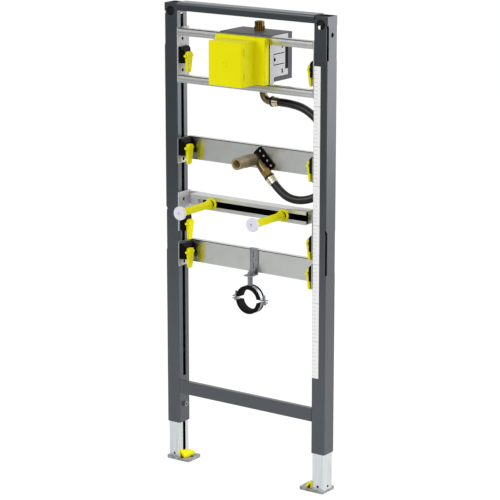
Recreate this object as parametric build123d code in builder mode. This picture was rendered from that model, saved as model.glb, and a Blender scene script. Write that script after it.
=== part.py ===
from build123d import *
from math import cos, radians, sin, tan
import os

os.makedirs("parts", exist_ok=True)

# Driving dimensions in millimetres. X runs along the frame, Y to its back and Z up from the
# floor. The origin lies on the floor, midway between the two anchor holes of the feet.
# Levels are heights above the lower end of the posts, and depths run back from their front.

# Posts
frame_width = 500.0
post_width = 40.0
post_depth = 45.0
post_height = 1120.0
post_wall = 2.0
post_corner = 3.0
post_slot_width = 12.0
post_slot_level = 128.0
post_slot_top_web = 26.0
fixing_hole_radius = 12.5
fixing_hole_drop = 20.0
side_hole_radius = 6.0
side_hole_drop = 46.0
notch_width = 3.0
notch_depth = 7.0
notch_key_radius = 5.0
rear_notch = 3.0
upper_notch_drop = 24.0
upper_notch_length = 84.0
lower_notch_level = 472.0
lower_notch_length = 110.0

# Feet
leg_shown = 95.0
leg_inside = 205.0
leg_wall = 2.0
leg_clearance = 0.5
leg_slot_width = 12.0
leg_slot_start = 11.0
leg_slot_end_web = 15.0
leg_hole_radius = 3.5
leg_hole_height = 6.5
foot_plate_length = 72.0
foot_plate_depth = 56.0
foot_plate_thickness = 8.0
foot_plate_corner = 4.0
anchor_radius = 5.5
anchor_edge = 10.0
wedge_height = 19.0
wedge_back_height = 9.0
wedge_reach = 18.0
wedge_width = 44.0
wedge_toe = 5.0
wedge_wall = 3.0
wedge_pocket = 15.0
lock_level = 49.0
lock_head_radius = 7.0
lock_head_height = 6.0
lock_shank_radius = 4.0
lock_shank_reach = 8.0
lock_clearance = 0.2
lock_socket_radius = 4.0
lock_socket_depth = 3.5

# Crossbars
top_bar_height = 21.0
top_bar_rise = 3.0
top_bar_shoulder = 6.0
bar_wall = 2.0
bottom_bar_level = 84.0
bottom_bar_height = 35.0
bottom_bar_depth = 12.0

# Folded sheet brackets
sheet = 2.0
bracket_hole_radius = 4.5
bend_radius = 1.5

# Rails that carry the flush valve
upper_rail_drop = 82.0
valve_rail_pitch = 121.0
valve_rail_height = 20.0
valve_rail_depth = 14.0
valve_rail_inset = 1.0
valve_plate_depth = 49.0
valve_plate_hole_inset = 30.0

# Wide traverses for the flush outlet and the drain clamp
traverse_height = 60.0
traverse_flange = 12.0
traverse_gap = 2.0
traverse_tab = 6.0
outlet_traverse_level = 711.0
drain_traverse_level = 437.0

# Rail for the two ceramic bolts
bolt_rail_level = 590.0
bolt_rail_height = 35.0
bolt_rail_depth = 35.0
bolt_rail_inset = 15.0
bolt_rail_slot = 16.0
bolt_rail_end_gap = 28.0
bolt_bracket_drop = 64.0
bolt_bracket_rise = 3.0
bolt_bracket_lap = 30.0

# Clamps that lock the brackets in the post slots
clamp_height = 42.0
clamp_width = 35.0
clamp_thickness = 15.0
clamp_chamfer = 4.0
clamp_slant = 9.0
clamp_neck_height = 24.0
clamp_neck_width = 10.0
clamp_neck_clearance = 0.5
clamp_head_width = 20.0
clamp_head_thickness = 5.0
lever_length = 53.0
lever_rise = 8.0
lever_neck_width = 15.0
lever_top_width = 22.0
lever_shoulder = 9.0
lever_end_width = 14.0
lever_thickness = 10.0
lever_round = 2.0
lever_tip_thickness = 6.0
lever_pin_radius = 3.5
lever_pin_length = 33.0
lever_pin_drop = 10.0
lever_pin_gap = 0.3
outlet_clamp_rise = 36.0
bolt_clamp_drop = 42.5
drain_clamp_rise = 33.5

# Ceramic bolts
bolt_spacing = 225.0
bolt_rod_radius = 5.0
bolt_clearance = 0.2
bolt_head_width = 22.0
bolt_head_height = 28.0
bolt_head_thickness = 5.0
bolt_reach = 125.0
sleeve_radius = 9.5
sleeve_flange_radius = 16.0
sleeve_flange_thickness = 3.0
sleeve_groove_radius = 6.5
sleeve_groove_length = 7.0
sleeve_collar_radius = 11.0
sleeve_collar_length = 9.0
cap_radius = 17.5
cap_thickness = 8.0
cap_edge = 2.0
cap_pocket = 3.0
cap_pocket_radius = 4.0
cap_floor = 2.0

# Flush valve: cover, carrier, body and its two connections
cover_gap = 1.0
cover_height = 110.0
cover_front_width = 102.0
cover_front_depth = 66.0
cover_base_depth = 17.0
cover_base_rise = 7.0
cover_wall = 3.0
cover_corner = 5.0
cover_hollow = 10.0
cover_slot_length = 19.0
cover_slot_width = 2.5
cover_slot_pitch = 63.0
cover_slot_setback = 11.5
carrier_width = 152.0
carrier_depth = 102.0
carrier_wall = 2.5
carrier_lift = 5.0
carrier_rear_strip = 18.0
carrier_foot_strip = 12.0
side_plate_front = 4.0
side_plate_leg = 20.0
side_plate_step = 1.5
side_tab_start = 23.0
side_tab_length = 46.0
side_tab_height = 27.0
side_tab_slot = 2.5
side_tab_notch_radius = 4.5
side_window_depth = 12.5
side_window_height = 57.0
side_slot_width = 3.0
side_slot_height = 9.0
side_slot_pitch = 63.0
side_slot_setback = 25.5
carrier_clearance = 0.5
valve_body_radius = 22.0
valve_body_headroom = 26.5
valve_y_depth = 69.0
inlet_radius = 11.5
inlet_length = 12.5
inlet_flange_radius = 15.0
inlet_flange_height = 11.0
inlet_bore_radius = 8.0
inlet_bore_depth = 26.0
pipe_clearance = 0.4
tail_radius = 9.5
tail_offset = 12.0
tail_drop = 54.0
tail_bend = 20.0
tail_reach = 26.0
tail_wall = 2.0

# Hose and its two end ferrules
hose_radius = 10.5
hose_bend_share = 0.45
hose_upper_lead = 51.0
hose_lower_lead = 38.0
ferrule_radius = 12.5
ferrule_neck_radius = 8.0
ferrule_neck_length = 6.0
ferrule_length = 24.0
ferrule_groove = 1.5
ferrule_groove_radius = 10.5
ferrule_band = 5.0

# Flush outlet: black bracket, elbow, spigot and union nut
outlet_x = 15.0
outlet_rise = 27.0
outlet_standoff = 12.0
outlet_bracket_thickness = 3.0
outlet_bracket_length = 66.0
outlet_bracket_width = 32.0
outlet_bracket_lap = 20.0
outlet_bracket_shift = 10.0
outlet_bracket_corner = 7.0
outlet_hole_radius = 3.0
outlet_window_radius = 5.5
outlet_hole_pitch = 16.0
outlet_hole_count = 4
outlet_leg_angle = 45.0
outlet_leg_radius = 12.5
outlet_leg_length = 40.0
outlet_joint_radius = 12.5
outlet_boss_radius = 9.0
outlet_nut_radius = 13.5
outlet_nut_length = 16.0
spigot_radius = 15.0
spigot_bore_radius = 11.5
spigot_length = 72.0
spigot_bore_depth = 48.0
spigot_rib = 0.8
spigot_rib_count = 5
spigot_rib_pitch = 7.0
spigot_seat = 13.0

# Drain clamp: hanger, stud, two half shells, rubber liner and ear screws
hanger_width = 25.0
hanger_thickness = 3.0
hanger_drop = 7.0
hanger_foot = 30.0
hanger_slot_width = 5.0
hanger_slot_length = 20.0
hanger_hook = 9.0
stud_radius = 4.0
stud_nut_radius = 7.5
stud_nut_height = 6.5
drain_axis_drop = 69.0
drain_axis_depth = 28.0
shell_radius = 36.5
shell_wall = 2.0
shell_width = 12.0
shell_split = 4.0
liner_bore_radius = 27.5
liner_width = 22.0
liner_lip = 1.0
liner_clearance = 0.3
ear_length = 16.0
ear_thickness = 2.5
ear_screw_radius = 3.0
ear_screw_rise = 12.0
ear_head_radius = 5.5
ear_head_height = 4.0

# Paper height scale on the right post
scale_width = 19.0
scale_inset = 2.0
scale_level = 201.0
scale_length = 797.0
scale_thickness = 0.4

# Shared planes and places that follow from the sizes above
front = -post_depth / 2
back = post_depth / 2
outer_x = frame_width / 2
inner_x = outer_x - post_width
post_x = outer_x - post_width / 2
post_bottom = foot_plate_thickness + leg_shown
post_top = post_bottom + post_height
plate_x = inner_x - sheet
valve_rail_front = front + valve_rail_inset
traverse_front = back + traverse_gap
bolt_rail_front = front + bolt_rail_inset
bolt_rail_back = bolt_rail_front + bolt_rail_depth
bolt_rail_end = inner_x - sheet - bolt_rail_end_gap
bolt_axis_z = post_bottom + bolt_rail_level + bolt_rail_height / 2
upper_rail_level = post_height - upper_rail_drop
lower_rail_level = upper_rail_level - valve_rail_pitch
valve_plate_height = valve_rail_pitch + valve_rail_height
valve_clamp_level = lower_rail_level + valve_plate_height / 2
outlet_clamp_level = outlet_traverse_level + outlet_clamp_rise
bolt_clamp_level = bolt_rail_level - bolt_clamp_drop
drain_clamp_level = drain_traverse_level + drain_clamp_rise
clamp_levels = (valve_clamp_level, outlet_clamp_level, bolt_clamp_level, drain_clamp_level)
sides = (("left", -1), ("right", 1))


def save(piece, name):
    piece.part.label = name
    export_step(piece.part, f"parts/{name}.step")


def channel(web, low, deep, tall, wall):
    # C section seen along X: the web stands at the front and both flanges run back from it.
    with Locations((web, low)):
        Rectangle(deep, tall, align=(Align.MIN, Align.MIN))
    with Locations((web + wall, low + wall)):
        Rectangle(deep, tall - 2 * wall, align=(Align.MIN, Align.MIN), mode=Mode.SUBTRACT)


def cut_clamp_window(side, level):
    # Window through a bracket plate for the neck of its clamp.
    with Locations((side * (inner_x - sheet / 2), 0, post_bottom + level)):
        Box(
            2 * sheet,
            clamp_neck_width + 2 * clamp_neck_clearance,
            clamp_neck_height + 2 * clamp_neck_clearance,
            mode=Mode.SUBTRACT,
        )


def cut_bracket_hole(side, level):
    # Screw hole through a bracket plate, in line with the slot of the post.
    with Locations((side * (inner_x - sheet / 2), 0, post_bottom + level)):
        Cylinder(bracket_hole_radius, 2 * sheet, rotation=(0, 90, 0), mode=Mode.SUBTRACT)


# Posts: square tubes with an inward slot, wall-fixing holes at the top and notched outer corners
post_slot_length = post_height - post_slot_level - post_slot_top_web
notches = (
    (post_top - upper_notch_drop - upper_notch_length, upper_notch_length),
    (post_bottom + lower_notch_level, lower_notch_length),
)
for name, side in sides:
    with BuildPart() as post:
        with BuildSketch(Plane.XY.offset(post_bottom)):
            with Locations((side * post_x, 0)):
                RectangleRounded(post_width, post_depth, post_corner)
                RectangleRounded(
                    post_width - 2 * post_wall,
                    post_depth - 2 * post_wall,
                    post_corner - post_wall / 2,
                    mode=Mode.SUBTRACT,
                )
        extrude(amount=post_height)
        slot_middle = post_bottom + post_slot_level + post_slot_length / 2
        with Locations((side * inner_x, 0, slot_middle)):
            Box(3 * post_wall, post_slot_width, post_slot_length, mode=Mode.SUBTRACT)
        with Locations((side * post_x, 0, post_top - fixing_hole_drop)):
            Cylinder(fixing_hole_radius, 2 * post_depth, rotation=(90, 0, 0), mode=Mode.SUBTRACT)
        with Locations((side * outer_x, 0, post_top - side_hole_drop)):
            Cylinder(side_hole_radius, 3 * post_wall, rotation=(0, 90, 0), mode=Mode.SUBTRACT)
        for low, length in notches:
            with Locations((side * outer_x, front, low + length / 2)):
                Box(2 * notch_width, 2 * notch_depth, length, mode=Mode.SUBTRACT)
            with Locations((side * outer_x, front, low + length)):
                Sphere(notch_key_radius, mode=Mode.SUBTRACT)
            with Locations((side * outer_x, back, low + length / 2)):
                Box(2 * rear_notch, 2 * rear_notch, length, mode=Mode.SUBTRACT)
        with Locations((side * inner_x, 0, post_bottom + lock_level)):
            Cylinder(
                lock_shank_radius + lock_clearance,
                3 * post_wall,
                rotation=(0, 90, 0),
                mode=Mode.SUBTRACT,
            )
    save(post, f"{name}_post")

# Top crossbar: folded cap with rounded shoulders, open below
with BuildPart() as top_crossbar:
    with BuildSketch(Plane.YZ.offset(-inner_x)) as top_bar_profile:
        with Locations((0, post_top + top_bar_rise)):
            Rectangle(post_depth, top_bar_height, align=(Align.CENTER, Align.MAX))
        fillet(top_bar_profile.vertices().group_by(Axis.Y)[-1], top_bar_shoulder)
        with BuildSketch(mode=Mode.SUBTRACT) as top_bar_hollow:
            with Locations((0, post_top + top_bar_rise - bar_wall)):
                Rectangle(
                    post_depth - 2 * bar_wall,
                    top_bar_height,
                    align=(Align.CENTER, Align.MAX),
                )
            fillet(top_bar_hollow.vertices().group_by(Axis.Y)[-1], top_bar_shoulder - bar_wall)
    extrude(amount=2 * inner_x)
save(top_crossbar, "top_crossbar")

# Bottom crossbar: shallow channel, open to the back
with BuildPart() as bottom_crossbar:
    with BuildSketch(Plane.YZ.offset(-inner_x)):
        channel(front, post_bottom + bottom_bar_level, bottom_bar_depth, bottom_bar_height, bar_wall)
    extrude(amount=2 * inner_x)
save(bottom_crossbar, "bottom_crossbar")

# Feet: slotted leg that telescopes in the post, its floor plate and a moulded wedge
leg_width = post_width - 2 * post_wall - 2 * leg_clearance
leg_depth = post_depth - 2 * post_wall - 2 * leg_clearance
leg_inner_x = post_x - leg_width / 2
leg_height = leg_shown + leg_inside
plate_center_x = outer_x - foot_plate_length / 2
anchor_x = outer_x - foot_plate_length + anchor_edge

for name, side in sides:
    with BuildPart() as leg:
        with BuildSketch(Plane.XY.offset(foot_plate_thickness)):
            with Locations((side * post_x, 0)):
                RectangleRounded(leg_width, leg_depth, leg_wall)
                Rectangle(leg_width - 2 * leg_wall, leg_depth - 2 * leg_wall, mode=Mode.SUBTRACT)
        extrude(amount=leg_height)
        leg_slot_length = leg_height - leg_slot_start - leg_slot_end_web
        leg_slot_middle = foot_plate_thickness + leg_slot_start + leg_slot_length / 2
        with Locations((side * leg_inner_x, 0, leg_slot_middle)):
            Box(3 * leg_wall, leg_slot_width, leg_slot_length, mode=Mode.SUBTRACT)
        with Locations((side * post_x, -leg_depth / 2, foot_plate_thickness + leg_hole_height)):
            Cylinder(leg_hole_radius, 3 * leg_wall, rotation=(90, 0, 0), mode=Mode.SUBTRACT)
        with Locations((side * (post_x + leg_width / 2), 0, foot_plate_thickness + leg_hole_height)):
            Cylinder(leg_hole_radius, 3 * leg_wall, rotation=(0, 90, 0), mode=Mode.SUBTRACT)
    save(leg, f"{name}_foot_leg")

    with BuildPart() as foot_plate:
        with BuildSketch():
            with Locations((side * plate_center_x, 0)):
                RectangleRounded(foot_plate_length, foot_plate_depth, foot_plate_corner)
            with Locations((side * anchor_x, 0)):
                Circle(anchor_radius, mode=Mode.SUBTRACT)
        extrude(amount=foot_plate_thickness)
    save(foot_plate, f"{name}_foot_plate")

    with BuildPart() as wedge:
        with BuildSketch(Plane.XZ.offset(-wedge_width / 2)):
            with BuildLine():
                Polyline(
                    (side * leg_inner_x, foot_plate_thickness),
                    (side * leg_inner_x, foot_plate_thickness + wedge_height),
                    (side * (leg_inner_x - wedge_toe), foot_plate_thickness + wedge_height),
                    (side * (leg_inner_x - wedge_reach), foot_plate_thickness + wedge_toe),
                    (side * (leg_inner_x - wedge_reach), foot_plate_thickness),
                    close=True,
                )
            make_face()
        extrude(amount=wedge_width)
        with BuildSketch(Plane.YZ.offset(side * leg_inner_x)):
            with BuildLine():
                Polyline(
                    (-wedge_width / 2, foot_plate_thickness + wedge_height),
                    (wedge_width / 2, foot_plate_thickness + wedge_height),
                    (wedge_width / 2, foot_plate_thickness + wedge_back_height),
                    close=True,
                )
            make_face()
        extrude(amount=-side * wedge_reach, mode=Mode.SUBTRACT)
        with BuildSketch(Plane.XZ.offset(wedge_width / 2)):
            with BuildLine():
                Polyline(
                    (side * (leg_inner_x - wedge_wall), foot_plate_thickness),
                    (side * (leg_inner_x - wedge_wall), foot_plate_thickness + wedge_height - wedge_toe),
                    (side * (leg_inner_x - wedge_reach + wedge_wall), foot_plate_thickness),
                    close=True,
                )
            make_face()
        extrude(amount=-wedge_pocket, mode=Mode.SUBTRACT)
    save(wedge, f"{name}_foot_wedge")

    with BuildPart() as lock_screw:
        with BuildSketch(Plane.YZ.offset(side * inner_x)):
            with Locations((0, post_bottom + lock_level)):
                Circle(lock_head_radius)
        extrude(amount=-side * lock_head_height)
        with BuildSketch(Plane.YZ.offset(side * (inner_x - lock_head_height))):
            with Locations((0, post_bottom + lock_level)):
                RegularPolygon(lock_socket_radius, 6)
        extrude(amount=side * lock_socket_depth, mode=Mode.SUBTRACT)
        with BuildSketch(Plane.YZ.offset(side * inner_x)):
            with Locations((0, post_bottom + lock_level)):
                Circle(lock_shank_radius)
        extrude(amount=side * lock_shank_reach)
    save(lock_screw, f"{name}_lock_screw")

# Valve rails and the end plates that join them at both posts
for name, level in (("lower_valve_rail", lower_rail_level), ("upper_valve_rail", upper_rail_level)):
    with BuildPart() as valve_rail:
        with BuildSketch(Plane.YZ.offset(-plate_x)):
            channel(valve_rail_front, post_bottom + level, valve_rail_depth, valve_rail_height, sheet)
        extrude(amount=2 * plate_x)
        rail_edges = valve_rail.edges().filter_by(Axis.X).group_by(Axis.Y)[0]
        fillet(rail_edges, bend_radius)
    save(valve_rail, name)

for name, side in sides:
    with BuildPart() as valve_plate:
        with BuildSketch(Plane.YZ.offset(side * plate_x)):
            with Locations((valve_rail_front, post_bottom + lower_rail_level)):
                Rectangle(valve_plate_depth, valve_plate_height, align=(Align.MIN, Align.MIN))
        extrude(amount=side * sheet)
        cut_clamp_window(side, valve_clamp_level)
        cut_bracket_hole(side, lower_rail_level + valve_plate_hole_inset)
        cut_bracket_hole(side, upper_rail_level + valve_rail_height - valve_plate_hole_inset)
    save(valve_plate, f"{name}_valve_plate")

# Wide traverses: a web behind the posts, folded edges and end flanges along the post faces
traverses = (
    ("outlet_traverse", outlet_traverse_level, outlet_clamp_level),
    ("drain_traverse", drain_traverse_level, drain_clamp_level),
)
for name, level, clamp_level in traverses:
    with BuildPart() as traverse:
        with BuildSketch(Plane.YZ.offset(-inner_x)):
            channel(traverse_front, post_bottom + level, traverse_flange, traverse_height, sheet)
        extrude(amount=2 * inner_x)
        for _, side in sides:
            with BuildSketch(Plane.YZ.offset(side * plate_x)):
                with Locations((front, post_bottom + level - traverse_tab)):
                    Rectangle(
                        traverse_front + sheet - front,
                        traverse_height + traverse_tab,
                        align=(Align.MIN, Align.MIN),
                    )
            extrude(amount=side * sheet)
            cut_clamp_window(side, clamp_level)
            cut_bracket_hole(side, level + traverse_tab / 2)
    save(traverse, name)

# Bolt rail: box channel with a slot along its front
with BuildPart() as bolt_rail:
    with BuildSketch(Plane.YZ.offset(-bolt_rail_end)):
        channel(
            bolt_rail_front,
            post_bottom + bolt_rail_level,
            bolt_rail_depth - sheet,
            bolt_rail_height,
            sheet,
        )
        with Locations((bolt_rail_back - sheet, bolt_axis_z)):
            Rectangle(sheet, bolt_rail_height, align=(Align.MIN, Align.CENTER))
        with Locations((bolt_rail_front, bolt_axis_z)):
            Rectangle(sheet, bolt_rail_slot, align=(Align.MIN, Align.CENTER), mode=Mode.SUBTRACT)
    extrude(amount=2 * bolt_rail_end)
save(bolt_rail, "bolt_rail")

# Brackets that carry the bolt rail: a plate on the post and a lug behind the rail
bolt_bracket_level = bolt_rail_level - bolt_bracket_drop
bolt_bracket_height = bolt_rail_height + bolt_bracket_drop + bolt_bracket_rise
bolt_lug_length = plate_x - bolt_rail_end + bolt_bracket_lap
for name, side in sides:
    with BuildPart() as bolt_bracket:
        with BuildSketch(Plane.YZ.offset(side * plate_x)):
            with Locations((front, post_bottom + bolt_bracket_level)):
                Rectangle(
                    bolt_rail_back + sheet - front,
                    bolt_bracket_height,
                    align=(Align.MIN, Align.MIN),
                )
        extrude(amount=side * sheet)
        with BuildSketch(Plane.XZ.offset(-bolt_rail_back)):
            with Locations((side * (plate_x - bolt_lug_length / 2), bolt_axis_z)):
                Rectangle(bolt_lug_length, bolt_rail_height)
        extrude(amount=-sheet)
        cut_clamp_window(side, bolt_clamp_level)
        cut_bracket_hole(side, bolt_rail_level + bolt_rail_height / 2)
    save(bolt_bracket, f"{name}_bolt_bracket")

# Clamps: a moulded block on each bracket, its head behind the post slot, and a yellow lever
clamp_face_x = plate_x - clamp_thickness
clamp_head_x = inner_x + post_wall
for name, side in sides:
    with BuildPart() as clamp_blocks:
        for level in clamp_levels:
            with BuildSketch(Plane.YZ.offset(side * plate_x)):
                with Locations((0, post_bottom + level)):
                    Rectangle(clamp_width, clamp_height)
            extrude(amount=-side * clamp_thickness)
        outer_edges = clamp_blocks.faces().group_by(Axis.X)[0 if side > 0 else -1].edges()
        chamfer(outer_edges.filter_by(Axis.Z), clamp_chamfer)
        outer_edges = clamp_blocks.faces().group_by(Axis.X)[0 if side > 0 else -1].edges()
        top_edges = [group[0] for group in outer_edges.filter_by(Axis.Y).group_by(Axis.Z)[1::2]]
        chamfer(top_edges, clamp_slant)
        for level in clamp_levels:
            with BuildSketch(Plane.YZ.offset(side * plate_x)):
                with Locations((0, post_bottom + level)):
                    Rectangle(clamp_neck_width, clamp_neck_height)
            extrude(amount=side * (clamp_head_x - plate_x))
            with BuildSketch(Plane.YZ.offset(side * clamp_head_x)):
                with Locations((0, post_bottom + level)):
                    Rectangle(clamp_head_width, clamp_neck_height)
            extrude(amount=side * clamp_head_thickness)
    save(clamp_blocks, f"{name}_clamp_blocks")

    with BuildPart() as clamp_levers:
        for level in clamp_levels:
            lever_top = post_bottom + level + lever_rise
            lever_end = lever_top - lever_length
            with BuildSketch(Plane.YZ.offset(side * clamp_face_x)) as lever_profile:
                with BuildLine():
                    Polyline(
                        (-lever_neck_width / 2, lever_top),
                        (lever_neck_width / 2, lever_top),
                        (lever_top_width / 2, lever_top - lever_shoulder),
                        (lever_end_width / 2, lever_end),
                        (-lever_end_width / 2, lever_end),
                        (-lever_top_width / 2, lever_top - lever_shoulder),
                        close=True,
                    )
                make_face()
                fillet(lever_profile.vertices(), lever_round)
            extrude(amount=-side * lever_thickness)
            with BuildSketch(Plane.XZ.offset(-lever_top_width)):
                with BuildLine():
                    Polyline(
                        (side * (clamp_face_x - lever_thickness), lever_top),
                        (side * (clamp_face_x - lever_thickness), lever_end),
                        (side * (clamp_face_x - lever_tip_thickness), lever_end),
                        close=True,
                    )
                make_face()
            extrude(amount=2 * lever_top_width, mode=Mode.SUBTRACT)
            pin_x = clamp_face_x - lever_pin_gap - lever_pin_radius
            with Locations((side * pin_x, 0, lever_top - lever_pin_drop)):
                Cylinder(lever_pin_radius, lever_pin_length, rotation=(90, 0, 0))
    save(clamp_levers, f"{name}_clamp_levers")

# Ceramic bolts: threaded rods held in the rail, yellow sleeves and white end caps
cap_front = front - bolt_reach
cap_back = cap_front + cap_thickness
bolt_xs = (-bolt_spacing / 2, bolt_spacing / 2)
rod_end = cap_front + cap_pocket + cap_floor
with BuildPart() as bolt_rods:
    for bolt_x in bolt_xs:
        with BuildSketch(Plane.XZ.offset(-rod_end)):
            with Locations((bolt_x, bolt_axis_z)):
                Circle(bolt_rod_radius)
        extrude(amount=-(bolt_rail_front + sheet - rod_end))
        with BuildSketch(Plane.XZ.offset(-(bolt_rail_front + sheet))):
            with Locations((bolt_x, bolt_axis_z)):
                Rectangle(bolt_head_width, bolt_head_height)
        extrude(amount=-bolt_head_thickness)
save(bolt_rods, "bolt_rods")

sleeve_bore_radius = bolt_rod_radius + bolt_clearance
flange_front = bolt_rail_front - sleeve_flange_thickness
groove_front = flange_front - sleeve_groove_length
collar_front = groove_front - sleeve_collar_length
with BuildPart() as bolt_sleeves:
    for bolt_x in bolt_xs:
        with BuildSketch(Plane.XY.offset(bolt_axis_z)):
            with BuildLine():
                Polyline(
                    (bolt_x + sleeve_bore_radius, bolt_rail_front),
                    (bolt_x + sleeve_flange_radius, bolt_rail_front),
                    (bolt_x + sleeve_flange_radius, flange_front),
                    (bolt_x + sleeve_groove_radius, flange_front),
                    (bolt_x + sleeve_groove_radius, groove_front),
                    (bolt_x + sleeve_collar_radius, groove_front),
                    (bolt_x + sleeve_collar_radius, collar_front),
                    (bolt_x + sleeve_radius, collar_front),
                    (bolt_x + sleeve_radius, cap_back),
                    (bolt_x + sleeve_bore_radius, cap_back),
                    close=True,
                )
            make_face()
        revolve(axis=Axis((bolt_x, 0, bolt_axis_z), (0, 1, 0)))
save(bolt_sleeves, "bolt_sleeves")

with BuildPart() as bolt_caps:
    for bolt_x in bolt_xs:
        with BuildSketch(Plane.XZ.offset(-cap_front)):
            with Locations((bolt_x, bolt_axis_z)):
                Circle(cap_radius)
        extrude(amount=-cap_thickness)
    fillet(bolt_caps.edges().group_by(Axis.Y)[0], cap_edge)
    for bolt_x in bolt_xs:
        with BuildSketch(Plane.XZ.offset(-cap_front)):
            with Locations((bolt_x, bolt_axis_z)):
                Circle(cap_pocket_radius)
        extrude(amount=-cap_pocket, mode=Mode.SUBTRACT)
        with BuildSketch(Plane.XZ.offset(-cap_back)):
            with Locations((bolt_x, bolt_axis_z)):
                Circle(sleeve_bore_radius)
        extrude(amount=cap_back - rod_end, mode=Mode.SUBTRACT)
save(bolt_caps, "bolt_caps")

# Valve cover: moulded box on a wider and taller base, hollow and open to the back
lower_rail_top = post_bottom + lower_rail_level + valve_rail_height
cover_low = lower_rail_top + cover_gap
cover_base_front = valve_rail_front - cover_base_depth
cover_front = cover_base_front - cover_front_depth


def cover_outline(inset, back_y):
    # Plan of the cover: the front box flares through a hollow curve into the base.
    half_front = cover_front_width / 2 - inset
    half_base = carrier_width / 2 - inset
    Polygon(
        (-half_base, back_y),
        (-half_base, cover_base_front + inset),
        (-half_front, cover_base_front + inset),
        (-half_front, cover_front + inset),
        (half_front, cover_front + inset),
        (half_front, cover_base_front + inset),
        (half_base, cover_base_front + inset),
        (half_base, back_y),
        align=None,
    )


with BuildPart() as valve_cover:
    with BuildSketch(Plane.XY.offset(cover_low)) as cover_plan:
        cover_outline(0, valve_rail_front)
        fillet(cover_plan.vertices().group_by(Axis.Y)[0], cover_corner)
        hollow_corners = cover_plan.vertices().group_by(Axis.Y)[-2].sort_by(Axis.X)[1:3]
        fillet(hollow_corners, cover_hollow)
    extrude(amount=cover_height)
    with BuildSketch(Plane.XY.offset(cover_low + cover_wall)) as cover_inside:
        cover_outline(cover_wall, valve_rail_front)
    extrude(amount=cover_height - 2 * cover_wall, mode=Mode.SUBTRACT)
    with BuildSketch(Plane.XY.offset(cover_low + cover_height)):
        with Locations((0, valve_rail_front)):
            Rectangle(carrier_width, cover_base_depth, align=(Align.CENTER, Align.MAX))
    extrude(amount=cover_base_rise)
    base_brow = valve_cover.edges().filter_by(Axis.X).group_by(Axis.Z)[-1].sort_by(Axis.Y)[0]
    chamfer(base_brow, cover_base_rise - cover_wall)
    slot_y = cover_front + cover_slot_setback
    for up in (-1, 1):
        with Locations((0, slot_y, cover_low + (cover_height + up * cover_slot_pitch) / 2)):
            with GridLocations(cover_front_width, 0, 2, 1):
                Box(4 * cover_wall, cover_slot_width, cover_slot_length, mode=Mode.SUBTRACT)
save(valve_cover, "valve_cover")

# Valve carrier: dark tray behind the rails, hung on the upper one and held by its two side plates
carrier_low = lower_rail_top + carrier_lift
carrier_top = post_bottom + upper_rail_level + valve_rail_height
side_front = front + side_plate_front
side_leg_back = side_front + side_plate_leg
foot_strip_front = side_leg_back + 2 * side_plate_step
carrier_back = valve_rail_front + carrier_depth
strip_front_y = carrier_back - carrier_rear_strip
carrier_front = valve_rail_front + sheet
valve_y = front + valve_y_depth
with BuildPart() as valve_carrier:
    with BuildSketch(Plane.YZ.offset(-carrier_width / 2)):
        with Locations((carrier_front, carrier_low)):
            Rectangle(
                carrier_back - carrier_front,
                carrier_top + carrier_wall - carrier_low,
                align=(Align.MIN, Align.MIN),
            )
        with Locations((carrier_front, carrier_low + carrier_wall)):
            Rectangle(
                carrier_back - carrier_front - carrier_wall,
                carrier_top - carrier_low - carrier_wall,
                align=(Align.MIN, Align.MIN),
                mode=Mode.SUBTRACT,
            )
    extrude(amount=carrier_width)
    for _, side in sides:
        with BuildSketch(Plane.YZ.offset(side * carrier_width / 2)):
            with Locations((carrier_back, carrier_low)):
                Rectangle(
                    carrier_rear_strip,
                    carrier_top - carrier_low,
                    align=(Align.MAX, Align.MIN),
                )
            with Locations((carrier_back, carrier_low)):
                Rectangle(
                    carrier_back - foot_strip_front,
                    carrier_foot_strip,
                    align=(Align.MAX, Align.MIN),
                )
        extrude(amount=-side * carrier_wall)
        with BuildSketch(Plane.XY.offset(carrier_low)):
            with Locations((side * carrier_width / 2, carrier_front)):
                Rectangle(
                    2 * (sheet + carrier_clearance),
                    side_leg_back + carrier_clearance - carrier_front,
                    align=(Align.CENTER, Align.MIN),
                )
        extrude(amount=carrier_wall, mode=Mode.SUBTRACT)
    with BuildSketch(Plane.XY.offset(carrier_top)):
        with Locations((0, valve_y)):
            Circle(tail_radius + pipe_clearance)
    extrude(amount=carrier_wall, mode=Mode.SUBTRACT)
    with BuildSketch(Plane.XY.offset(carrier_low)):
        with Locations((tail_offset, valve_y)):
            Circle(tail_radius + pipe_clearance)
    extrude(amount=carrier_wall, mode=Mode.SUBTRACT)
save(valve_carrier, "valve_carrier")

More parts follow.
